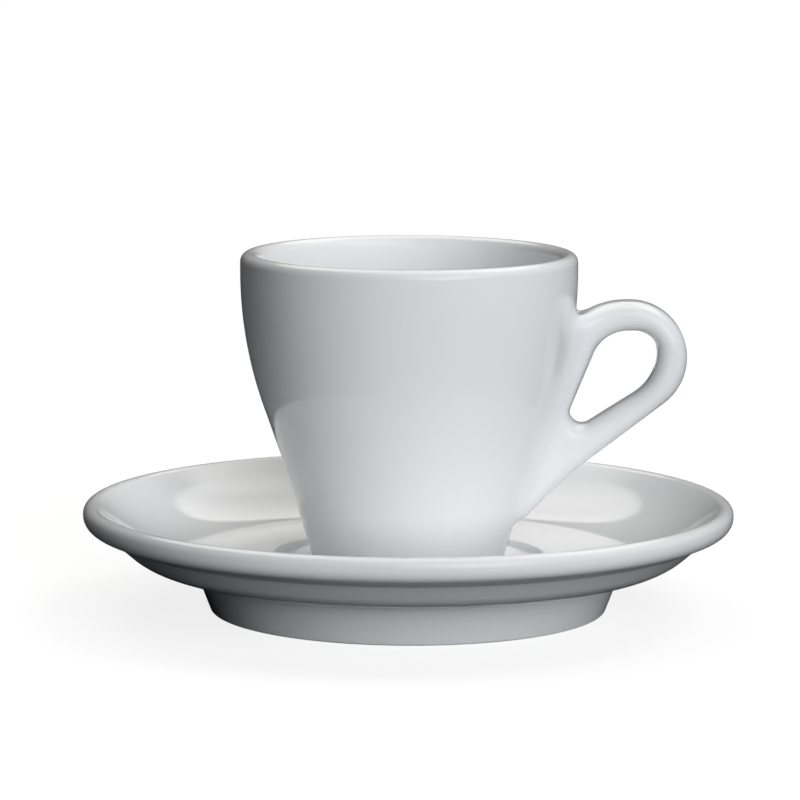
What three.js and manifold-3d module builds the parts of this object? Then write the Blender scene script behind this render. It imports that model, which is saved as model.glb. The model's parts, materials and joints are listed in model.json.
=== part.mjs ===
// Espresso cup and saucer in glazed porcelain, in millimetres, +Z up.
// The origin is on the saucer's axis at table level, and the handle points along +X.
import * as THREE from "three";
import { mergeVertices } from "three/addons/utils/BufferGeometryUtils.js";
import Module from "manifold-3d";

// Saucer, from the table up
const SAUCER_DIAMETER = 120;
const SAUCER_HEIGHT = 19.9; // table to the crest of the rim
const FOOT_RING_INSET = 23.5; // saucer's edge in to the ring's outer edge, at table level
const FOOT_RING_WIDTH = 3.6; // flat that stands on the table
const FOOT_RING_HEIGHT = 7.4; // table to the flange
const FOOT_RING_FLARE = 21; // degrees that its outer wall leans out
const FOOT_RING_DRAFT = 12; // degrees that its inner wall leans in
const FLANGE_RISE = 10; // degrees, underside beside the foot ring
const KNEE_INSET = 10.6; // edge to where the underside turns up
const KNEE_RADIUS = 12;
const RIM_BAND_WIDTH = 5.8; // edge to the notch under the rim
const RIM_BAND_RISE = 27; // degrees, underside of the rim
const NOTCH_DROP = 6.1; // crest down to the notch
const RIM_NOSE_RADIUS = 2.4;
const RIM_CREST_RADIUS = 1.7;
const DISH_SLOPE = 42; // degrees, inner wall of the dish
const DISH_SWEEP_RADIUS = 28; // between the floor and the inner wall
const FLOOR_HEIGHT = 10; // table to the flat floor
const WELL_DEPTH = 1.2;
const WELL_CLEARANCE = 7.5; // well wall to the cup's foot
const SAUCER_BASE_THICKNESS = 4.2;

// Cup, heights from its own foot
const CUP_HEIGHT = 57.4;
const RIM_RADIUS = 31;
const CUP_FOOT_RADIUS = 17.5;
const WAIST_HEIGHT = 16; // where the lower cone opens into the upper one
const WAIST_RADIUS = 22.1;
const WAIST_SWEEP_RADIUS = 200;
const SHOULDER_HEIGHT = 41; // where the cone turns upright
const SHOULDER_RADIUS = 75;
const LIP_THICKNESS = 3.4;
const WALL_THICKNESS = 3.8; // measured level, at the waist
const CUP_BASE_THICKNESS = 4.6;
const BOWL_CORNER_RADIUS = 9; // inside, wall to base
const CUP_FOOT_WIDTH = 3.4; // flat that stands in the well
const CUP_FOOT_DEPTH = 1.6; // hollow under the base
const CUP_FOOT_DRAFT = 27; // degrees that the hollow's wall leans in

// Handle, a flat loop in the XZ plane
const HANDLE_DROP = 8.7; // lip down to the top of the loop
const TAIL_HEIGHT = 8.6; // foot up to the handle's tail
const HANDLE_REACH = 20.4; // lip out to the end of the loop
const HANDLE_WIDTH = 9.6; // across, along Y
const HANDLE_BAR = 5.4; // thickness of the loop in its own plane
const HANDLE_SPINE = 3.8; // how far the spine stands off the wall
const HANDLE_SIDE_FLAT = 0.6; // flat left on each side of the bar between its rounded edges
const HANDLE_RIM_FLAT = 2.2; // flat left round the loop, across the bar
const HANDLE_SHOULDER_OUT = 5.2; // wall out to where the top levels off
const HANDLE_SHOULDER_DIP = 2.8; // how far the top falls on the way to the wall
const HANDLE_SHOULDER_RADIUS = 16;
const HANDLE_NOSE_RADIUS = 10.5; // outer curve, top to end
const HANDLE_ELBOW_DROP = 16.8; // top down to the lower bend
const HANDLE_ELBOW_RADIUS = 12;
const GUSSET_RISE = 10.9; // tail up to where the lower edge meets the gusset
const GUSSET_REACH = 10.7; // wall out to that place
const GUSSET_BEND_RADIUS = 30;
const TAIL_REACH = 2.2; // wall out to the corner of the tail
const TAIL_ROUND = 0.3; // radius left at the tail's corner beside its rounded edge
const LOOP_TOP_RADIUS = 6; // finger hole, spine to top
const LOOP_TIP_RADIUS = 2.1; // finger hole, lower tip
const HANDLE_JOINT = 0.3; // slip joint between the handle and the wall

// Small rounded edges and how finely the round surfaces are cut
const EDGE_RADIUS = 0.6;
const NOTCH_RADIUS = 0.8;
const TURNED_SEGMENTS = 52;
const CHORD_ERROR = 0.05;
const HANDLE_EDGE_STEPS = 4;
const WELD_DISTANCE = 1e-3; // vertices closer than this are one

const radians = THREE.MathUtils.degToRad;
const slope = (degrees) => Math.tan(radians(degrees));

const wasm = await Module();
wasm.setup();

// An outline given by its corners, each [x, y, radius], with every corner rounded by a tangent arc.
// Where two arcs would run into each other on one side, both give way.
function roundedOutline(corners, closed = false) {
  const count = corners.length;
  const points = corners.map(([x, y]) => new THREE.Vector2(x, y));
  const beside = (i, step) => points[(i + step + count) % count];
  const isEnd = (i) => !closed && (i === 0 || i === count - 1);
  const bends = corners.map(([, , radius = 0], i) => {
    if (isEnd(i) || radius === 0) return { run: 0 };
    const back = beside(i, -1).clone().sub(points[i]);
    const ahead = beside(i, 1).clone().sub(points[i]);
    const turn = Math.PI - Math.abs(back.angleTo(ahead));
    return { back, ahead, turn, run: radius * Math.tan(turn / 2) };
  });
  const fitted = bends.map(({ run, back, ahead }, i) => {
    if (run === 0) return 0;
    const before = bends[(i - 1 + count) % count].run;
    const after = bends[(i + 1) % count].run;
    const share = Math.min(1, back.length() / (run + before), ahead.length() / (run + after));
    return run * share;
  });
  const outline = [];
  points.forEach((corner, i) => {
    if (fitted[i] === 0) {
      outline.push(corner);
      return;
    }
    const { back, ahead, turn } = bends[i];
    const radius = fitted[i] / Math.tan(turn / 2);
    const start = back.clone().setLength(fitted[i]);
    const end = ahead.clone().setLength(fitted[i]);
    const middle = start.clone().add(end);
    const centre = middle.setLength(radius / Math.cos(turn / 2)).add(corner);
    const from = start.add(corner).sub(centre);
    const way = Math.sign(from.cross(end.add(corner).sub(centre)));
    const step = 2 * Math.acos(1 - Math.min(1, CHORD_ERROR / radius));
    const steps = Math.max(2, Math.ceil(turn / step));
    for (let k = 0; k <= steps; k++) {
      const spun = from.clone().rotateAround(new THREE.Vector2(), (way * turn * k) / steps);
      outline.push(spun.add(centre));
    }
  });
  return outline;
}

// A turned solid: the outline holds radius and height, and starts and ends on the axis.
function turned(outline) {
  return new THREE.LatheGeometry(outline, TURNED_SEGMENTS).rotateX(Math.PI / 2);
}

function solidOf(geometry) {
  const bare = new THREE.BufferGeometry();
  bare.setAttribute("position", geometry.getAttribute("position")).setIndex(geometry.index);
  const merged = mergeVertices(bare, WELD_DISTANCE);
  const vertProperties = merged.attributes.position.array;
  const triVerts = new Uint32Array(merged.index.array);
  return new wasm.Manifold(new wasm.Mesh({ numProp: 3, vertProperties, triVerts }));
}

function geometryOf(solid) {
  const { vertProperties, triVerts } = solid.getMesh();
  const geometry = new THREE.BufferGeometry();
  geometry.setAttribute("position", new THREE.BufferAttribute(vertProperties, 3));
  geometry.setIndex(new THREE.BufferAttribute(triVerts, 1));
  geometry.computeVertexNormals();
  return geometry;
}

// Saucer: one outline, from the middle of the underside round the rim to the middle of the well.
const WELL_HEIGHT = FLOOR_HEIGHT - WELL_DEPTH;
const WELL_RADIUS = CUP_FOOT_RADIUS + WELL_CLEARANCE;

function saucerOutline() {
  const edge = SAUCER_DIAMETER / 2;
  const underside = WELL_HEIGHT - SAUCER_BASE_THICKNESS;
  const ringOuter = edge - FOOT_RING_INSET;
  const ringInner = ringOuter - FOOT_RING_WIDTH;
  const ringTop = ringOuter + FOOT_RING_HEIGHT * slope(FOOT_RING_FLARE);
  const knee = edge - KNEE_INSET;
  const kneeHeight = FOOT_RING_HEIGHT + (knee - ringTop) * slope(FLANGE_RISE);
  const notch = edge - RIM_BAND_WIDTH;
  const notchHeight = SAUCER_HEIGHT - NOTCH_DROP;
  const noseHeight = notchHeight + RIM_BAND_WIDTH * slope(RIM_BAND_RISE);
  const crestCorner = RIM_CREST_RADIUS * (slope(45 + DISH_SLOPE / 2) - 1) + SAUCER_HEIGHT;
  const dishFoot = edge - (crestCorner - FLOOR_HEIGHT) / slope(DISH_SLOPE);
  return roundedOutline([
    [0, underside],
    [ringInner - underside * slope(FOOT_RING_DRAFT), underside, EDGE_RADIUS],
    [ringInner, 0, EDGE_RADIUS],
    [ringOuter, 0, EDGE_RADIUS],
    [ringTop, FOOT_RING_HEIGHT, EDGE_RADIUS],
    [knee, kneeHeight, KNEE_RADIUS],
    [notch, notchHeight, NOTCH_RADIUS],
    [edge, noseHeight, RIM_NOSE_RADIUS],
    [edge, crestCorner, RIM_CREST_RADIUS],
    [dishFoot, FLOOR_HEIGHT, DISH_SWEEP_RADIUS],
    [WELL_RADIUS, FLOOR_HEIGHT, EDGE_RADIUS],
    [WELL_RADIUS - WELL_DEPTH, WELL_HEIGHT, EDGE_RADIUS],
    [0, WELL_HEIGHT],
  ]);
}

// Cup body: the outside wall is kept as corners of its own, because the handle is fitted to it.
const WALL_CORNERS = [
  [CUP_FOOT_RADIUS, 0],
  [WAIST_RADIUS, WAIST_HEIGHT, WAIST_SWEEP_RADIUS],
  [RIM_RADIUS, SHOULDER_HEIGHT, SHOULDER_RADIUS],
  [RIM_RADIUS, CUP_HEIGHT],
];
const WALL = roundedOutline(WALL_CORNERS);

function wallRadius(height) {
  const above = Math.max(1, WALL.findIndex((point) => point.y >= height));
  const [low, high] = [WALL[above - 1], WALL[above]];
  return low.x + ((high.x - low.x) * (height - low.y)) / (high.y - low.y);
}

function cupOutline() {
  const [foot, waist, shoulder, lip] = WALL_CORNERS;
  const lipRadius = LIP_THICKNESS / 2;
  const hollow = CUP_FOOT_RADIUS - CUP_FOOT_WIDTH;
  const base = CUP_BASE_THICKNESS;
  const lowerSlope = (WAIST_RADIUS - CUP_FOOT_RADIUS) / WAIST_HEIGHT;
  const bowlCorner = WAIST_RADIUS - WALL_THICKNESS - (WAIST_HEIGHT - base) * lowerSlope;
  return roundedOutline([
    [0, CUP_FOOT_DEPTH],
    [hollow - CUP_FOOT_DEPTH * slope(CUP_FOOT_DRAFT), CUP_FOOT_DEPTH, EDGE_RADIUS],
    [hollow, 0, EDGE_RADIUS],
    [...foot, EDGE_RADIUS],
    waist,
    shoulder,
    [...lip, lipRadius],
    [lip[0] - LIP_THICKNESS, CUP_HEIGHT, lipRadius],
    [lip[0] - LIP_THICKNESS, SHOULDER_HEIGHT, SHOULDER_RADIUS],
    [WAIST_RADIUS - WALL_THICKNESS, WAIST_HEIGHT, WAIST_SWEEP_RADIUS],
    [bowlCorner, base, BOWL_CORNER_RADIUS],
    [0, base],
  ]);
}

// Handle: a plate with rounded edges and a finger hole, its back cut to the curve of the wall.
const HANDLE_EDGE = (HANDLE_BAR - HANDLE_SIDE_FLAT) / 2;
const HANDLE_EDGE_DEPTH = (HANDLE_WIDTH - HANDLE_RIM_FLAT) / 2;
const HANDLE_TOP = CUP_HEIGHT - HANDLE_DROP;
const HANDLE_END = RIM_RADIUS + HANDLE_REACH;
const ELBOW = new THREE.Vector2(HANDLE_END, HANDLE_TOP - HANDLE_ELBOW_DROP);
const GUSSET_HEIGHT = TAIL_HEIGHT + GUSSET_RISE;
const GUSSET = new THREE.Vector2(wallRadius(GUSSET_HEIGHT) + GUSSET_REACH, GUSSET_HEIGHT);

function handleOutline() {
  const root = HANDLE_TOP - HANDLE_SHOULDER_DIP;
  const corners = [
    [0, root],
    [0, TAIL_HEIGHT],
    [wallRadius(TAIL_HEIGHT) + TAIL_REACH, TAIL_HEIGHT, HANDLE_EDGE + TAIL_ROUND],
    [GUSSET.x, GUSSET.y, GUSSET_BEND_RADIUS],
    [ELBOW.x, ELBOW.y, HANDLE_ELBOW_RADIUS],
    [HANDLE_END, HANDLE_TOP, HANDLE_NOSE_RADIUS],
    [wallRadius(HANDLE_TOP) + HANDLE_SHOULDER_OUT, HANDLE_TOP, HANDLE_SHOULDER_RADIUS],
    [wallRadius(root), root],
  ];
  return roundedOutline(corners, true);
}

// The finger hole's sides run beside the outside of the loop and beside the wall.
function fingerHoleOutline() {
  const end = HANDLE_END - HANDLE_BAR;
  const top = HANDLE_TOP - HANDLE_BAR;
  const armSlope = (ELBOW.y - GUSSET.y) / (ELBOW.x - GUSSET.x);
  const armLift = HANDLE_BAR * Math.hypot(1, armSlope);
  const spineAt = (height) => wallRadius(height) + HANDLE_SPINE;
  const spineLean = (spineAt(top) - spineAt(GUSSET.y)) / (top - GUSSET.y);
  const armAtSpine = armLift - armSlope * (GUSSET.x - spineAt(GUSSET.y));
  const tipLift = armAtSpine / (1 - armSlope * spineLean);
  const corners = [
    [spineAt(GUSSET.y) + tipLift * spineLean, GUSSET.y + tipLift, LOOP_TIP_RADIUS],
    [end, ELBOW.y + armLift - HANDLE_BAR * armSlope, HANDLE_ELBOW_RADIUS - HANDLE_BAR],
    [end, top, HANDLE_NOSE_RADIUS - HANDLE_BAR],
    [spineAt(top), top, LOOP_TOP_RADIUS],
  ];
  return roundedOutline(corners, true);
}

// An outline, walked anticlockwise, with every side moved out by the same distance.
function grown(outline, distance) {
  const count = outline.length;
  return outline.map((point, i) => {
    const before = point.clone().sub(outline[(i - 1 + count) % count]).normalize();
    const after = outline[(i + 1) % count].clone().sub(point).normalize();
    const out = new THREE.Vector2(before.y + after.y, -before.x - after.x);
    return out.multiplyScalar(distance / (1 + before.dot(after))).add(point);
  });
}

// A solid stacked along Y from copies of one outline, each layer [y, distance grown].
// A fan of triangles from the outline's middle closes each end.
function stacked(outline, layers) {
  const count = outline.length;
  const middle = outline.reduce((sum, point) => sum.add(point), new THREE.Vector2()).divideScalar(count);
  const position = [];
  const index = [];
  layers.forEach(([y, distance], layer) => {
    grown(outline, distance).forEach((point) => position.push(point.x, y, point.y));
    if (layer === 0) return;
    for (let i = 0; i < count; i++) {
      const next = (i + 1) % count;
      const [near, far] = [(layer - 1) * count, layer * count];
      index.push(near + i, far + i, near + next, far + i, far + next, near + next);
    }
  });
  const last = (layers.length - 1) * count;
  const ends = layers.length * count;
  position.push(middle.x, layers[0][0], middle.y, middle.x, layers.at(-1)[0], middle.y);
  for (let i = 0; i < count; i++) {
    const next = (i + 1) % count;
    index.push(ends, i, next, ends + 1, last + next, last + i);
  }
  const geometry = new THREE.BufferGeometry();
  geometry.setAttribute("position", new THREE.Float32BufferAttribute(position, 3));
  return geometry.setIndex(index);
}

function handleGeometry() {
  const edge = [];
  for (let k = 0; k <= HANDLE_EDGE_STEPS; k++) {
    const turn = (k / HANDLE_EDGE_STEPS) * (Math.PI / 2);
    const out = HANDLE_RIM_FLAT / 2 + HANDLE_EDGE_DEPTH * Math.cos(turn);
    edge.push([out, HANDLE_EDGE * (1 - Math.sin(turn))]);
  }
  const across = (side) => [
    ...edge.map(([y, cut]) => [-y, side * cut]),
    ...edge.toReversed().map(([y, cut]) => [y, side * cut]),
  ];
  const plate = stacked(handleOutline(), across(-1));
  const past = HANDLE_WIDTH / 2 + HANDLE_EDGE;
  const finger = stacked(fingerHoleOutline(), [[-past, HANDLE_EDGE], ...across(1), [past, HANDLE_EDGE]]);
  const wall = WALL.map(({ x, y }) => new THREE.Vector2(x + HANDLE_JOINT, y));
  const core = turned([new THREE.Vector2(0, 0), ...wall, new THREE.Vector2(0, CUP_HEIGHT)]);
  return geometryOf(solidOf(plate).subtract(solidOf(finger)).subtract(solidOf(core)));
}

const glazes = {
  saucer: { color: 0xeceeee, roughness: 0.14, metalness: 0 },
  cup_body: { color: 0xeef0f0, roughness: 0.12, metalness: 0 },
  cup_handle: { color: 0xeef0f0, roughness: 0.13, metalness: 0 },
};

function piece(name, geometry) {
  const mesh = new THREE.Mesh(geometry, new THREE.MeshStandardMaterial(glazes[name]));
  mesh.name = name;
  return mesh;
}

const espressoSet = new THREE.Group();
espressoSet.add(piece("saucer", turned(saucerOutline())));

const cup = new THREE.Group();
cup.position.z = WELL_HEIGHT;
cup.add(piece("cup_body", turned(cupOutline())));
cup.add(piece("cup_handle", handleGeometry()));
espressoSet.add(cup);

export default espressoSet;
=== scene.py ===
import itertools
import json
import math

import bpy
import numpy as np
from mathutils import Matrix, Vector


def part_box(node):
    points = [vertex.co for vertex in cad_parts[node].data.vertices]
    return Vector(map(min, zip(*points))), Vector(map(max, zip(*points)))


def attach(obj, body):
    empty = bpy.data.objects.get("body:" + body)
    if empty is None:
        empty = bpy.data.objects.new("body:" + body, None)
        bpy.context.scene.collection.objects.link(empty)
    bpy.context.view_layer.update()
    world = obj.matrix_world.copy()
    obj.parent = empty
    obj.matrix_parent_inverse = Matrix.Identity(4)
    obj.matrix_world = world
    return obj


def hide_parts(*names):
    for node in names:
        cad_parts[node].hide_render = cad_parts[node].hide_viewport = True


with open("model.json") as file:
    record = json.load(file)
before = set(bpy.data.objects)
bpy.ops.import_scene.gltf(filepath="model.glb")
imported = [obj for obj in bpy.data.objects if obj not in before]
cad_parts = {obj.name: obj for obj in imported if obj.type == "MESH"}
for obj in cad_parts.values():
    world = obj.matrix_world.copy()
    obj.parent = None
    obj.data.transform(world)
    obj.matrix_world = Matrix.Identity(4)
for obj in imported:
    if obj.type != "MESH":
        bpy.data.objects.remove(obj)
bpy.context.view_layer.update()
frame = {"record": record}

MM = 0.001

# Saucer
# A dished porcelain plate with a foot ring, jiggered over a turning mould. Its rim is rolled, and a
# shallow well in its floor keeps the cup from sliding. Clear gloss glaze covers all of it but the foot
# ring's flat.
saucer_low, saucer_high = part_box("saucer")
cup_low, cup_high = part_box("cup_body")
SAUCER_EDGE = saucer_high.x
SAUCER_CREST = saucer_high.z
WELL_FLOOR = cup_low.z
WELL_EDGE = 25.0 * MM
WELL_BEVEL = 1.2 * MM
DISH_FLOOR = WELL_FLOOR + 1.2 * MM
DISH_SLOPE = math.radians(42)
DISH_SWEEP = 28.0 * MM
CREST_ROUND = 1.7 * MM
NOSE_ROUND = 2.6 * MM
NOTCH = (SAUCER_EDGE - 5.0 * MM, SAUCER_CREST - 5.8 * MM)
NOTCH_ROUND = 2.4 * MM
RIM_BAND_RISE = math.radians(22)
KNEE = (SAUCER_EDGE - 10.6 * MM, 9.18 * MM)
KNEE_ROUND = 12.0 * MM
RING_TOP = (39.34 * MM, 7.4 * MM)
RING_OUTER = 36.5 * MM
RING_INNER = 32.9 * MM
RING_DRAFT = 1.0 * MM
UNDERSIDE = WELL_FLOOR - 4.2 * MM
SOFT_EDGE = 0.6 * MM
WHEEL_STEPS = 256
WELD_DISTANCE = 0.002 * MM

WHITE = {material["slot"]: material["base_color"] for material in frame["record"]["materials"]}
POOLED = (0.70, 0.745, 0.77)
POOLED_SHARE = 0.35
# The crest colour is slightly warm, like glaze run thin, and lighter than the white. That lightness is a
# painted highlight on the lip and the rim's crest, where light from above falls.
THIN_GLAZE_AND_PAINTED_HIGHLIGHT = (0.88, 0.874, 0.86)
THIN_GLAZE_AND_HIGHLIGHT_SHARE = 0.25
THIN_GLAZE_AND_HIGHLIGHT_HAZE = 0.15
CLOUDED = (0.80, 0.825, 0.84)
CLOUDED_SHARE = 0.18
BISCUIT = (0.80, 0.77, 0.72)
BISCUIT_GRAIN = 0.15
SPECK = (0.45, 0.41, 0.36)
SPECK_SHARE = 0.3
SPECK_SPACING = 11 * MM
SPECK_RADIUS = 0.012 * SPECK_SPACING
SPECK_CHANCE = 0.22
WIPED_HEIGHT = 0.22 * MM
WIPED_EDGE = 0.08 * MM
WIPED_WAVER = 0.12 * MM
GLAZE_INDEX = 1.52
GLOSS_ROUGHNESS = 0.045
HAZE_ROUGHNESS = 0.03
THIN_ROUGHNESS = 0.02
BISCUIT_ROUGHNESS = 0.55
SWELL_DEPTH = 0.02 * MM
PEEL_DEPTH = 0.0035 * MM
GRAIN_DEPTH = 0.02 * MM
CREASE_REACH = 1.6 * MM
WELL_CREASE_REACH = 1.2 * MM
CREST_REACH = 1.4 * MM
WELL_CREST_REACH = 0.8 * MM


def rounded(corners, closed=False, longest=0.8 * MM, sharpest=math.radians(6)):
    """An outline from corners (across, up, radius), each turned by a tangent arc in short steps."""
    points = []
    for i, (across, up, radius) in enumerate(corners):
        corner = np.array((across, up))
        is_end = not closed and i in (0, len(corners) - 1)
        if is_end or radius == 0:
            points.append(corner)
            continue
        back = np.array(corners[i - 1][:2]) - corner
        ahead = np.array(corners[(i + 1) % len(corners)][:2]) - corner
        back /= np.linalg.norm(back)
        ahead /= np.linalg.norm(ahead)
        turn = math.pi - math.acos(np.clip(back @ ahead, -1, 1))
        run = radius * math.tan(turn / 2)
        towards = (back + ahead) / np.linalg.norm(back + ahead)
        centre = corner + towards * radius / math.cos(turn / 2)
        spoke = corner + back * run - centre
        last = corner + ahead * run - centre
        way = np.sign(spoke[0] * last[1] - spoke[1] * last[0])
        steps = math.ceil(max(turn / sharpest, turn * radius / longest))
        for angle in np.linspace(0, way * turn, steps + 1):
            c, s = math.cos(angle), math.sin(angle)
            points.append(centre + np.array((c * spoke[0] - s * spoke[1], s * spoke[0] + c * spoke[1])))
    return np.array(points)


class Wire:
    """A node's output in an expression. Arithmetic on it adds Math nodes, and node() any other node."""

    def __init__(self, tree, socket=None):
        self.tree = tree
        self.socket = socket

    def node(self, kind, settings=None, *values, output=None, **named):
        """Adds a node, sets its settings, then fills or links its sockets by place or by name."""
        made = self.tree.nodes.new(kind)
        for name, value in (settings or {}).items():
            setattr(made, name, value)
        sockets = list(zip(made.inputs, values))
        for name, value in named.items():
            words = name.replace("_", " ")
            sockets.append((next(s for s in made.inputs if s.enabled and s.name == words), value))
        for socket, value in sockets:
            if isinstance(value, Wire):
                self.tree.links.new(value.socket, socket)
            else:
                socket.default_value = value
        chosen = (s for s in made.outputs if s.enabled and output in (None, s.name))
        return Wire(self.tree, next(chosen, None))

    def other(self, output):
        return Wire(self.tree, self.socket.node.outputs[output])

    def math(self, operation, *values):
        """A Math node on this wire and the values after it."""
        return self.node("ShaderNodeMath", {"operation": operation}, self, *values)

    def __add__(self, value):
        return self.math("ADD", value)

    def __sub__(self, value):
        return self.math("SUBTRACT", value)

    def __rsub__(self, value):
        return self.node("ShaderNodeMath", {"operation": "SUBTRACT"}, value, self)

    def __mul__(self, value):
        return self.math("MULTIPLY", value)

    def __truediv__(self, value):
        return self.math("DIVIDE", value)

    def __mod__(self, value):
        return self.math("MODULO", value)

    def __floordiv__(self, value):
        return (self / value).math("FLOOR")

    def __pow__(self, value):
        return self.math("POWER", value)

    def __lt__(self, value):
        return self.math("LESS_THAN", value)

    def __gt__(self, value):
        return self.math("GREATER_THAN", value)

    __radd__ = __add__
    __rmul__ = __mul__

    def smooth(self, low, high):
        """From 0 at low to 1 at high, with soft ends."""
        return self.node(
            "ShaderNodeMapRange",
            {"interpolation_type": "SMOOTHSTEP"},
            Value=self,
            From_Min=low,
            From_Max=high,
        )

    def tinted(self, colour, share):
        """A colour wire with another colour laid over it by a share."""
        return self.node("ShaderNodeMix", {"data_type": "RGBA"}, Factor=share, A=self, B=(*colour, 1))


def wheel_tree():
    """Turns an outline, a mesh of points in the XZ plane, once round the Z axis."""
    tree = bpy.data.node_groups.new("turn on the wheel", "GeometryNodeTree")
    for name, kind in (
        ("Outline", "NodeSocketGeometry"),
        ("Segments", "NodeSocketInt"),
        ("Weld distance", "NodeSocketFloat"),
        ("Glaze", "NodeSocketMaterial"),
    ):
        tree.interface.new_socket(name, in_out="INPUT", socket_type=kind)
    tree.interface.new_socket("Piece", in_out="OUTPUT", socket_type="NodeSocketGeometry")
    wheel = Wire(tree)
    outline = wheel.node("NodeGroupInput")
    segments = outline.other("Segments")
    rows = wheel.node("GeometryNodeAttributeDomainSize", {"component": "MESH"}, Geometry=outline)
    grid = wheel.node("GeometryNodeMeshGrid", Vertices_X=segments + 1, Vertices_Y=rows)
    index = wheel.node("GeometryNodeInputIndex")
    on_outline = wheel.node(
        "GeometryNodeSampleIndex",
        {"data_type": "FLOAT_VECTOR"},
        Geometry=outline,
        Value=wheel.node("GeometryNodeInputPosition"),
        Index=index % rows,
    )
    turned = wheel.node(
        "ShaderNodeVectorRotate",
        {"rotation_type": "Z_AXIS"},
        Vector=on_outline,
        Angle=index // rows / segments * (2 * math.pi),
    )
    piece = wheel.node("GeometryNodeSetPosition", Geometry=grid, Position=turned)
    weld = outline.other("Weld distance")
    piece = wheel.node("GeometryNodeMergeByDistance", Geometry=piece, Distance=weld)
    piece = wheel.node("GeometryNodeSetShadeSmooth", Geometry=piece)
    piece = wheel.node("GeometryNodeRealizeInstances", Geometry=piece)
    piece = wheel.node("GeometryNodeSetMaterial", Geometry=piece, Material=outline.other("Glaze"))
    wheel.node("NodeGroupOutput", Piece=piece)
    return tree


WHEEL = wheel_tree()


def thrown(name, outline, glaze):
    """A piece turned from an outline that starts and ends on the axis, as a plain mesh at the origin."""
    mesh = bpy.data.meshes.new(name + "_outline")
    mesh.from_pydata([(across, 0, up) for across, up in outline], [], [])
    draft = bpy.data.objects.new(name + "_draft", mesh)
    bpy.context.scene.collection.objects.link(draft)
    wheel = draft.modifiers.new("wheel", "NODES")
    wheel.node_group = WHEEL
    sizes = {"Segments": WHEEL_STEPS, "Weld distance": WELD_DISTANCE, "Glaze": glaze}
    for socket in WHEEL.interface.items_tree:
        if socket.name in sizes:
            wheel[socket.identifier] = sizes[socket.name]
    draft.modifiers.new("even normals", "WEIGHTED_NORMAL").mode = "FACE_AREA"
    seen = draft.evaluated_get(bpy.context.evaluated_depsgraph_get())
    piece = bpy.data.objects.new(name, bpy.data.meshes.new_from_object(seen))
    bpy.context.scene.collection.objects.link(piece)
    bpy.data.objects.remove(draft)
    return piece


def glazed(name, foot, creases, crests, slip=None):
    """Clear gloss glaze on white porcelain, pooled in creases, wiped off the foot, and thin over crests,
    where a lighter colour paints a highlight.
    """
    material = bpy.data.materials.new(name)
    material.use_nodes = True
    material.node_tree.nodes.clear()
    glaze = Wire(material.node_tree)
    place = glaze.node("ShaderNodeTexCoord", output="Object")
    x = glaze.node("ShaderNodeSeparateXYZ", Vector=place)
    y, height = x.other("Y"), x.other("Z")
    radius = (x * x + y * y) ** 0.5

    def noise(size, detail, offset):
        """Soft spots of about a size, from 0 to 1. Each offset gives other spots."""
        shifted = glaze.node("ShaderNodeVectorMath", {"operation": "ADD"}, place, (offset, 0, 0))
        return glaze.node("ShaderNodeTexNoise", Vector=shifted, Scale=1 / size, Detail=detail)

    def around(rings):
        """Near 1 on rings (radius, height, reach) about the axis, falling off smoothly to 0."""
        total = 0
        for across, up, reach in rings:
            gap = (radius - across) ** 2 + (height - up) ** 2
            total = total + (gap * (-1 / reach**2)).math("EXPONENT")
        return total

    cloud = noise(size=31 * MM, detail=2, offset=0.1).smooth(low=0.35, high=0.65)
    haze = noise(size=7 * MM, detail=3, offset=0.2).smooth(low=0.3, high=0.7)
    peel = noise(size=2.6 * MM, detail=1, offset=0.3)
    swell = noise(size=14 * MM, detail=0, offset=0.4)
    grain = noise(size=0.35 * MM, detail=2, offset=0.5)
    pool = around(creases)
    if slip:
        pool = pool + glaze.node("ShaderNodeAttribute", {"attribute_name": slip}, output="Fac")
    # The crest mask sets the thinner glaze's roughness and the painted highlight's colour.
    thin_and_highlit = around(crests)
    pits = glaze.node("ShaderNodeTexVoronoi", Vector=place, Scale=1 / SPECK_SPACING, output="Distance")
    lot = glaze.node("ShaderNodeSeparateColor", Color=pits.other("Color"))
    speck = (pits < SPECK_RADIUS / SPECK_SPACING) * (lot < SPECK_CHANCE)
    wavering = height + (haze - 0.5) * WIPED_WAVER
    wiped = foot + WIPED_HEIGHT
    bare = 1 - wavering.smooth(wiped, wiped + WIPED_EDGE)

    colour = glaze.node(
        "ShaderNodeMix",
        {"data_type": "RGBA"},
        Factor=cloud * CLOUDED_SHARE,
        A=(*WHITE[name], 1),
        B=(*CLOUDED, 1),
    )
    colour = colour.tinted(POOLED, pool * POOLED_SHARE)
    # Painted highlight: crests are tinted lighter than the white, with the slight warmth of thin glaze.
    colour = colour.tinted(THIN_GLAZE_AND_PAINTED_HIGHLIGHT, thin_and_highlit * (THIN_GLAZE_AND_HIGHLIGHT_SHARE + haze * THIN_GLAZE_AND_HIGHLIGHT_HAZE))
    colour = colour.tinted(SPECK, speck * SPECK_SHARE)
    colour = colour.tinted(BISCUIT, bare * (1 - BISCUIT_GRAIN + grain * BISCUIT_GRAIN))
    roughness = GLOSS_ROUGHNESS + haze * HAZE_ROUGHNESS + thin_and_highlit * THIN_ROUGHNESS + bare * BISCUIT_ROUGHNESS
    relief = swell * SWELL_DEPTH + peel * PEEL_DEPTH + bare * grain * GRAIN_DEPTH
    bump = glaze.node("ShaderNodeBump", Strength=1, Distance=1, Height=relief)
    shader = glaze.node(
        "ShaderNodeBsdfPrincipled", Base_Color=colour, Roughness=roughness, IOR=GLAZE_INDEX, Normal=bump
    )
    glaze.node("ShaderNodeOutputMaterial", Surface=shader)
    return material


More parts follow.
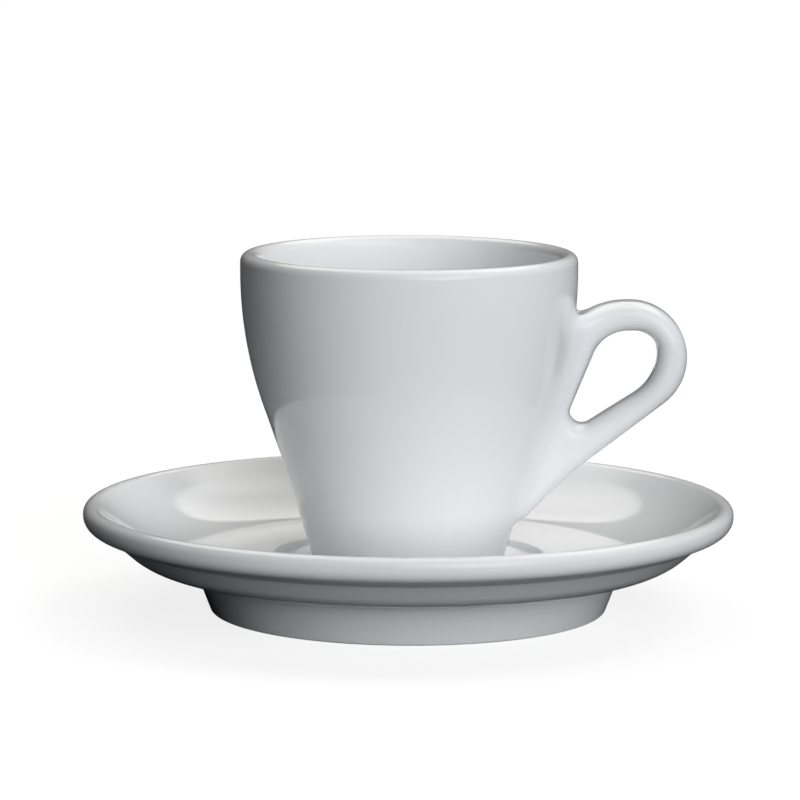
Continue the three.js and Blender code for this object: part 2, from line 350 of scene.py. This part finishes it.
nose_height = NOTCH[1] + (SAUCER_EDGE - NOTCH[0]) * math.tan(RIM_BAND_RISE)
crest_corner = SAUCER_CREST + CREST_ROUND * (math.tan(math.pi / 4 + DISH_SLOPE / 2) - 1)
dish_foot = SAUCER_EDGE - (crest_corner - DISH_FLOOR) / math.tan(DISH_SLOPE)
saucer_outline = rounded([
    (0, UNDERSIDE, 0),
    (RING_INNER - RING_DRAFT, UNDERSIDE, SOFT_EDGE),
    (RING_INNER, 0, SOFT_EDGE),
    (RING_OUTER, 0, SOFT_EDGE),
    (*RING_TOP, SOFT_EDGE),
    (*KNEE, KNEE_ROUND),
    (*NOTCH, NOTCH_ROUND),
    (SAUCER_EDGE, nose_height, NOSE_ROUND),
    (SAUCER_EDGE, crest_corner, CREST_ROUND),
    (dish_foot, DISH_FLOOR, DISH_SWEEP),
    (WELL_EDGE, DISH_FLOOR, SOFT_EDGE),
    (WELL_EDGE - WELL_BEVEL, WELL_FLOOR, SOFT_EDGE),
    (0, WELL_FLOOR, 0),
])
saucer_glaze = glazed(
    "saucer_glaze",
    foot=0,
    creases=[
        (*NOTCH, CREASE_REACH),
        (*RING_TOP, CREASE_REACH),
        (WELL_EDGE - WELL_BEVEL, WELL_FLOOR, WELL_CREASE_REACH),
        (RING_INNER - RING_DRAFT, UNDERSIDE, CREASE_REACH),
    ],
    # The rim's crest and the well's edge get the painted highlight.
    crests=[
        (SAUCER_EDGE - CREST_ROUND, SAUCER_CREST, CREST_REACH),
        (WELL_EDGE, DISH_FLOOR, WELL_CREST_REACH),
    ],
)
saucer = thrown("saucer_dish", saucer_outline, saucer_glaze)
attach(saucer, "saucer")
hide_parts("saucer")

# Cup body
# A thick tapered porcelain bowl with a full round lip and a low foot ring, cast in a plaster mould and
# sponged smooth. It stands loose in the saucer's well. The glaze is the saucer's, wiped off the foot ring.
CUP_RIM = cup_high.x
CUP_LIP = cup_high.z
CUP_FOOT = 17.5 * MM
WAIST = (22.1 * MM, WELL_FLOOR + 16 * MM)
SHOULDER = WELL_FLOOR + 41 * MM
WAIST_SWEEP = 200 * MM
SHOULDER_SWEEP = 75 * MM
LIP = 3.4 * MM
WALL = 3.8 * MM
BASE = WELL_FLOOR + 4.6 * MM
BASE_SWEEP = 9 * MM
INNER_SWEEP = 110 * MM
FOOT_WIDTH = 3.4 * MM
FOOT_BEVEL = 0.8 * MM
FOOT_HOLLOW = WELL_FLOOR + 1.6 * MM
FOOT_CREASE_REACH = 1.2 * MM
BASE_POOL_REACH = 4 * MM
LIP_REACH = 1.6 * MM
SLIP_ATTRIBUTE = "slip"
lower_lean = (WAIST[0] - CUP_FOOT) / (WAIST[1] - WELL_FLOOR)
wall_corners = [
    (CUP_FOOT, WELL_FLOOR, SOFT_EDGE),
    (*WAIST, WAIST_SWEEP),
    (CUP_RIM, SHOULDER, SHOULDER_SWEEP),
    (CUP_RIM, CUP_LIP, LIP / 2),
]
cup_outline = rounded([
    (0, FOOT_HOLLOW, 0),
    (CUP_FOOT - FOOT_WIDTH - FOOT_BEVEL, FOOT_HOLLOW, SOFT_EDGE),
    (CUP_FOOT - FOOT_WIDTH, WELL_FLOOR, SOFT_EDGE),
    *wall_corners,
    (CUP_RIM - LIP, CUP_LIP, LIP / 2),
    (CUP_RIM - LIP, SHOULDER, SHOULDER_SWEEP),
    (WAIST[0] - WALL, WAIST[1], INNER_SWEEP),
    (WAIST[0] - WALL - (WAIST[1] - BASE) * lower_lean, BASE, BASE_SWEEP),
    (0, BASE, 0),
])
cup_glaze = glazed(
    "cup_glaze",
    foot=WELL_FLOOR,
    creases=[
        (CUP_FOOT - FOOT_WIDTH - FOOT_BEVEL, FOOT_HOLLOW, FOOT_CREASE_REACH),
        (CUP_FOOT - WALL, BASE, BASE_POOL_REACH),
    ],
    # The lip's crest gets the painted highlight.
    crests=[(CUP_RIM - LIP / 2, CUP_LIP, LIP_REACH)],
    slip=SLIP_ATTRIBUTE,
)
cup = thrown("cup_bowl", cup_outline, cup_glaze)
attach(cup, "cup")
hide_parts("cup_body")

# Handle
# A flat loop of porcelain with rounded sides, cast by itself and stuck to the leather-hard wall with
# slip. The slip and the glaze fill the corner all round its root, so it flows into the wall.
handle_low, handle_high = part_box("cup_handle")
LOOP_TOP = handle_high.z
LOOP_INSET = 0.3 * MM
LOOP_END = handle_high.x - LOOP_INSET
TAIL = handle_low.z
LOOP_WIDTH = handle_high.y - handle_low.y
LOOP_BAR = 5.45 * MM
SIDE_ROUND = 2.5 * MM
SIDE_ROUND_DEPTH = 3.7 * MM
BURIED_END = 5 * MM
NECK_LEAN = math.radians(53)
NECK_REACH = 1.6 * MM
NECK_ROUND = 15.3 * MM
NECK_BURIED = 4 * MM
CROWN_ROUND = 10.5 * MM
ELBOW_DROP = 15.7 * MM
ELBOW_ROUND = 10.5 * MM
GUSSET_RISE = 8.1 * MM
GUSSET_REACH = 7.45 * MM
GUSSET_ROUND = 44 * MM
TAIL_REACH = 1.7 * MM
TAIL_ROUND = 2 * MM
HOLE_TIP_RISE = 13.7 * MM
HOLE_TIP_REACH = 2.7 * MM
HOLE_TIP_ROUND = 2.3 * MM
HOLE_ELBOW_DROP = 9.1 * MM
HOLE_ELBOW_ROUND = 9.1 * MM
HOLE_CROWN_ROUND = 4.1 * MM
HOLE_NECK_REACH = 5.45 * MM
HOLE_NECK_ROUND = 6.8 * MM
SLIP_AT_SIDES = 9 * MM
SLIP_AT_EDGES = 2.4 * MM
ROOT_SINK = 1.2 * MM
SKIRT_START = 0.74
SKIRT_LENGTH = 0.2
SKIRT_END = 0.95
SKIRT_DIVE = 0.3 * MM
SKIRT_LIFT = 0.006 * MM
GRID_PITCH = 0.36 * MM
GRID_MARGIN = 2 * GRID_PITCH
SLOPE_STEP = 0.02 * MM
SMOOTHING_ROUNDS = 4
SMOOTHING_PULL = 0.5
WALL_STEP = 0.2 * MM
WALL_CHORD = 0.3 * MM
TINY = 1e-9

wall_line = rounded(wall_corners, longest=WALL_CHORD)
wall_heights = np.arange(WELL_FLOOR, CUP_LIP, WALL_STEP)
wall_radii = np.interp(wall_heights, wall_line[:, 1], wall_line[:, 0])
wall_cosines = np.cos(np.arctan(np.gradient(wall_radii, wall_heights)))


def wall_radius(height):
    return np.interp(height, wall_heights, wall_radii)


neck_drop = (NECK_REACH + NECK_BURIED) * math.tan(NECK_LEAN)
neck = (wall_radius(LOOP_TOP) - NECK_BURIED, LOOP_TOP - neck_drop)
gusset = TAIL + GUSSET_RISE
loop_outline = rounded([
    (BURIED_END, neck[1], 0),
    (BURIED_END, TAIL, 0),
    (wall_radius(TAIL) + TAIL_REACH, TAIL, TAIL_ROUND),
    (wall_radius(gusset) + GUSSET_REACH, gusset, GUSSET_ROUND),
    (LOOP_END, LOOP_TOP - ELBOW_DROP, ELBOW_ROUND),
    (LOOP_END, LOOP_TOP, CROWN_ROUND),
    (wall_radius(LOOP_TOP) + NECK_REACH, LOOP_TOP, NECK_ROUND),
    (*neck, 0),
], closed=True)
hole_top = LOOP_TOP - LOOP_BAR
hole_end = LOOP_END - LOOP_BAR
hole_tip = TAIL + HOLE_TIP_RISE
hole_outline = rounded([
    (wall_radius(hole_tip) + HOLE_TIP_REACH, hole_tip, HOLE_TIP_ROUND),
    (hole_end, hole_top - HOLE_ELBOW_DROP, HOLE_ELBOW_ROUND),
    (hole_end, hole_top, HOLE_CROWN_ROUND),
    (wall_radius(hole_top) + HOLE_NECK_REACH, hole_top, HOLE_NECK_ROUND),
], closed=True)


def outside(points, outline):
    """Signed distance from points in a plane to a closed outline, negative inside it."""
    start, end = outline, np.roll(outline, -1, axis=0)
    side = end - start
    away = points[:, None] - start
    along = np.clip((away * side).sum(-1) / (side * side).sum(-1), 0, 1)
    gap = np.linalg.norm(away - along[..., None] * side, axis=-1).min(1)
    crosses = (start[:, 1] > points[:, 1:]) != (end[:, 1] > points[:, 1:])
    rise = np.where(side[:, 1] == 0, 1, side[:, 1])
    meets = start[:, 0] + (points[:, 1:] - start[:, 1]) / rise * side[:, 0]
    inside = (crosses & (points[:, :1] < meets)).sum(1) % 2 == 1
    return np.where(inside, -gap, gap)


def plane_distance(points):
    """Signed distance to the loop's side view, negative in its bar."""
    flat = points[:, [0, 2]]
    return np.maximum(outside(flat, loop_outline), -outside(flat, hole_outline))


def wall_field(points):
    """Distance out from the cup's wall."""
    across = np.hypot(points[:, 0], points[:, 1]) - wall_radius(points[:, 2])
    return across * np.interp(points[:, 2], wall_heights, wall_cosines)


def loop_field(in_plane, across):
    """Distance out from the loop, whose section has elliptical corners, and the slip's reach there."""
    half = LOOP_WIDTH / 2
    near_edge = np.maximum(in_plane + SIDE_ROUND, TINY)
    near_side = np.maximum(np.abs(across) - half + SIDE_ROUND_DEPTH, TINY)
    reach = np.hypot(near_edge / SIDE_ROUND, near_side / SIDE_ROUND_DEPTH)
    slope = np.hypot(near_edge / SIDE_ROUND**2, near_side / SIDE_ROUND_DEPTH**2) / reach
    corner = (reach - 1) / slope
    deep = (in_plane + SIDE_ROUND <= 0) & (np.abs(across) - half + SIDE_ROUND_DEPTH <= 0)
    sideways = near_side / np.hypot(near_edge, near_side)
    slip = SLIP_AT_EDGES + (SLIP_AT_SIDES - SLIP_AT_EDGES) * sideways**2
    return np.where(deep, np.maximum(in_plane, np.abs(across) - half), corner), slip


def handle_fields(points, in_plane=None):
    """Distances out from the handle's skin and its filleted corner, and the corner's fill of slip."""
    if in_plane is None:
        in_plane = plane_distance(points)
    wall = wall_field(points)
    loop, slip = loop_field(in_plane, points[:, 1])
    # A cubic smooth minimum fills the corner between the wall and the loop.
    fill = (np.maximum(slip - np.abs(wall - loop), 0) / slip) ** 3
    fillet = np.minimum(wall, loop) - fill * slip / 6
    dive = np.clip((loop / slip - SKIRT_START) / SKIRT_LENGTH, 0, 1)
    skirt = fillet - SKIRT_LIFT * (1 - dive) + dive**2 * SKIRT_DIVE
    return np.maximum.reduce([skirt, -wall - ROOT_SINK, loop - SKIRT_END * slip]), fillet, fill


def skin(field, low, pitch):
    """Quads over the zero level of a field on a grid, with one vertex in each cell that it crosses."""
    cells = np.array(field.shape) - 1
    places = np.zeros((*cells, 3))
    hits = np.zeros(cells)
    corner = np.stack(np.meshgrid(*[np.arange(n) for n in field.shape], indexing="ij"), -1).astype(float)
    crossings = []
    for axis in range(3):
        lower = np.take(field, range(cells[axis]), axis)
        upper = np.take(field, range(1, cells[axis] + 1), axis)
        crossing = (lower < 0) != (upper < 0)
        place = np.take(corner, range(cells[axis]), axis)
        place[..., axis] += np.where(crossing, lower / np.where(crossing, lower - upper, 1), 0)
        others = [a for a in range(3) if a != axis]
        for shift in itertools.product((0, 1), repeat=2):
            part = [slice(None)] * 3
            for other, offset in zip(others, shift):
                part[other] = slice(offset, offset + cells[other])
            part = tuple(part)
            hits += crossing[part]
            places += np.where(crossing[part][..., None], place[part], 0)
        crossings.append((crossing, lower < 0))
    used = hits > 0
    number = np.full(cells, -1)
    number[used] = np.arange(used.sum())
    vertices = np.array(low) + pitch * places[used] / hits[used][:, None]
    quads = []
    for axis, (crossing, opens) in enumerate(crossings):
        b, c = (axis + 1) % 3, (axis + 2) % 3
        at = np.argwhere(crossing)
        at = at[(at[:, b] > 0) & (at[:, b] < cells[b]) & (at[:, c] > 0) & (at[:, c] < cells[c])]
        ring = []
        for step_b, step_c in ((-1, -1), (0, -1), (0, 0), (-1, 0)):
            cell = at.copy()
            cell[:, b] += step_b
            cell[:, c] += step_c
            ring.append(number[tuple(cell.T)])
        ring = np.stack(ring, 1)
        outward = opens[tuple(at.T)]
        quads.append(np.where(outward[:, None], ring, ring[:, ::-1]))
    return vertices, np.concatenate(quads)


def slope_of(points, which):
    """The unit direction in which one of the handle's fields grows fastest at each point."""
    parts = []
    for axis in np.eye(3) * SLOPE_STEP:
        parts.append(handle_fields(points + axis)[which] - handle_fields(points - axis)[which])
    grown = np.stack(parts, -1)
    return grown / np.maximum(np.linalg.norm(grown, axis=1, keepdims=True), TINY)


# Half a cell more keeps the grid's planes off the flats at the loop's sides.
margin = SLIP_AT_SIDES + GRID_MARGIN + GRID_PITCH / 2
widest = LOOP_WIDTH / 2 + margin
innermost = math.sqrt((wall_radius(TAIL - margin) - ROOT_SINK) ** 2 - widest**2) - GRID_PITCH
low = np.array((innermost, -widest, TAIL - margin))
high = np.array((LOOP_END + GRID_MARGIN, widest, LOOP_TOP + margin))
axes = [np.arange(a, b, GRID_PITCH) for a, b in zip(low, high)]
grid = np.stack(np.meshgrid(*axes, indexing="ij"), -1)
in_plane = plane_distance(grid[:, 0].reshape(-1, 3)).reshape(len(axes[0]), 1, len(axes[2]))
in_plane = np.broadcast_to(in_plane, grid.shape[:3]).reshape(-1)
sampled = handle_fields(grid.reshape(-1, 3), in_plane)[0].reshape(grid.shape[:3])
vertices, quads = skin(sampled, low, GRID_PITCH)
edges = np.concatenate([quads[:, [a, b]] for a, b in ((0, 1), (1, 2), (2, 3), (3, 0))])
links = np.bincount(edges[:, 0], minlength=len(vertices))
for smoothing in range(SMOOTHING_ROUNDS):
    pull = np.zeros_like(vertices)
    np.add.at(pull, edges[:, 0], vertices[edges[:, 1]])
    pull = pull / links[:, None] - vertices
    normal = slope_of(vertices, 0)
    vertices = vertices + SMOOTHING_PULL * (pull - normal * (pull * normal).sum(1, keepdims=True))
    depth = np.clip(handle_fields(vertices)[0], -GRID_PITCH / 2, GRID_PITCH / 2)
    vertices = vertices - normal * depth[:, None]

mesh = bpy.data.meshes.new("cup_loop")
mesh.from_pydata(vertices.tolist(), [], quads.tolist())
mesh.materials.append(cup_glaze)
mesh.shade_smooth()
mesh.normals_split_custom_set_from_vertices(slope_of(vertices, 1).tolist())
slip_fill = mesh.attributes.new(SLIP_ATTRIBUTE, "FLOAT", "POINT")
slip_fill.data.foreach_set("value", handle_fields(vertices)[2])
handle = bpy.data.objects.new("cup_loop", mesh)
bpy.context.scene.collection.objects.link(handle)
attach(handle, "cup")
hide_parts("cup_handle")

# Floor
# A sheet of white paper under and behind the set. It throws back only a little light, so that the
# underside stays dark, and keeps the soft shadow of the saucer. The gloss shows a strip of it behind.
FLOOR_HALF = 3.0
PAPER_GLOW = 0.84
PAPER = (0.23, 0.23, 0.23)
PAPER_BOUNCE = (0.046, 0.05, 0.055)
STRIP_HALF = 0.03
STRIP_START = 0.03
floor_mesh = bpy.data.meshes.new("floor")
sides = ((-1, -1), (1, -1), (1, 1), (-1, 1))
corners = [(across * FLOOR_HALF, along * FLOOR_HALF, 0) for across, along in sides]
floor_mesh.from_pydata(corners, [], [range(4)])
floor = bpy.data.objects.new("floor", floor_mesh)
bpy.context.scene.collection.objects.link(floor)
paper_material = bpy.data.materials.new("paper")
paper_material.use_nodes = True
paper_material.node_tree.nodes.clear()
paper = Wire(paper_material.node_tree)
x = paper.node("ShaderNodeSeparateXYZ", Vector=paper.node("ShaderNodeTexCoord", output="Object"))
behind = (x.math("ABSOLUTE") < STRIP_HALF) * (x.other("Y") > STRIP_START)
ray = paper.node("ShaderNodeLightPath", output="Is Camera Ray")
shown = ray + ray.other("Is Transmission Ray") + ray.other("Is Glossy Ray") * behind
lit = paper.node("ShaderNodeBsdfDiffuse", Color=(*PAPER, 1))
glow = paper.node("ShaderNodeEmission", Strength=PAPER_GLOW)
white = paper.node("ShaderNodeAddShader", None, lit, glow)
dim = paper.node("ShaderNodeBsdfDiffuse", Color=(*PAPER_BOUNCE, 1))
mixed = paper.node("ShaderNodeMixShader", None, shown, dim, white)
paper.node("ShaderNodeOutputMaterial", Surface=mixed)
floor_mesh.materials.append(paper_material)

# Light
# Round softboxes: one overhead and two small ones high at the back, a key low in front on the right and a
# weak fill from behind. The left stays dark, which draws the cup's edge. The backdrop is plain white.
KEY_TINT = (0.988, 0.991, 1.021)
TOP_TINT = (1.02, 1.0, 0.975)
world = bpy.data.worlds.new("studio")
bpy.context.scene.world = world
world.use_nodes = True
world.node_tree.nodes.clear()
sky = Wire(world.node_tree)
direction = sky.node("ShaderNodeTexCoord", output="Generated")
ray = sky.node("ShaderNodeLightPath", output="Is Camera Ray")
in_gloss = ray.other("Is Glossy Ray")


def softbox(tint, azimuth, elevation, radius, edge, strength, mirrored):
    """A round lamp far off, in degrees, and how bright it is by itself and in the gloss.

    Azimuth 0 is the camera's side, and 90 is on its right.
    """
    turn, rise = math.radians(azimuth), math.radians(elevation)
    middle = (math.sin(turn) * math.cos(rise), -math.cos(turn) * math.cos(rise), math.sin(rise))
    facing = sky.node(
        "ShaderNodeVectorMath", {"operation": "DOT_PRODUCT"}, direction, middle, output="Value"
    )
    patch = facing.smooth(math.cos(math.radians(radius + edge)), math.cos(math.radians(radius - edge)))
    level = patch * (strength + in_gloss * (mirrored - strength))
    return sky.node("ShaderNodeVectorMath", {"operation": "SCALE"}, Vector=tint, Scale=level)


lamps = [
    softbox(TOP_TINT, azimuth=180, elevation=62, radius=32, edge=1.5, strength=0.9, mirrored=1.7),
    softbox(TOP_TINT, azimuth=120, elevation=55, radius=10, edge=10, strength=4.1, mirrored=1.5),
    softbox(TOP_TINT, azimuth=216, elevation=55, radius=10, edge=10, strength=1.8, mirrored=0.9),
    softbox(TOP_TINT, azimuth=172, elevation=20, radius=24, edge=10, strength=0.5, mirrored=0),
    softbox(KEY_TINT, azimuth=23, elevation=20, radius=24, edge=6, strength=3.6, mirrored=1.5),
    softbox(KEY_TINT, azimuth=27, elevation=3, radius=13, edge=4, strength=5.9, mirrored=1.6),
]
light = lamps[0]
for lamp in lamps[1:]:
    light = sky.node("ShaderNodeVectorMath", {"operation": "ADD"}, light, lamp)
seen = sky.node(
    "ShaderNodeMix",
    {"data_type": "RGBA"},
    Factor=ray + ray.other("Is Transmission Ray"),
    A=light,
    B=(1, 1, 1, 1),
)
sky.node("ShaderNodeOutputWorld", Surface=sky.node("ShaderNodeBackground", Color=seen))

# Camera
# A long lens a little above the cup's lip, fitted to the outlines of the cup and the saucer in the
# photograph. Its pixels are those of the square picture.
CAMERA_PLACE = Vector((0, -0.796, 0.154))
CAMERA_PITCH = math.radians(8.235)
CAMERA_YAW = math.radians(-0.115)
CAMERA_ROLL = math.radians(0.193)
FOCAL_PIXELS = 4365
PHOTO_PIXELS = 800
SENSOR_WIDTH = 36
camera = bpy.data.objects.new("camera", bpy.data.cameras.new("camera"))
bpy.context.scene.collection.objects.link(camera)
camera.data.sensor_width = SENSOR_WIDTH
camera.data.lens = SENSOR_WIDTH * FOCAL_PIXELS / PHOTO_PIXELS
forward = Vector((
    math.sin(CAMERA_YAW) * math.cos(CAMERA_PITCH),
    math.cos(CAMERA_YAW) * math.cos(CAMERA_PITCH),
    -math.sin(CAMERA_PITCH),
))
level_right = Vector((math.cos(CAMERA_YAW), -math.sin(CAMERA_YAW), 0))
level_up = level_right.cross(forward)
right = math.cos(CAMERA_ROLL) * level_right + math.sin(CAMERA_ROLL) * level_up
up = math.cos(CAMERA_ROLL) * level_up - math.sin(CAMERA_ROLL) * level_right
turn = Matrix((right, up, -forward)).transposed()
camera.matrix_world = Matrix.Translation(CAMERA_PLACE) @ turn.to_4x4()
bpy.context.scene.camera = camera
bpy.context.scene.view_settings.view_transform = "Standard"
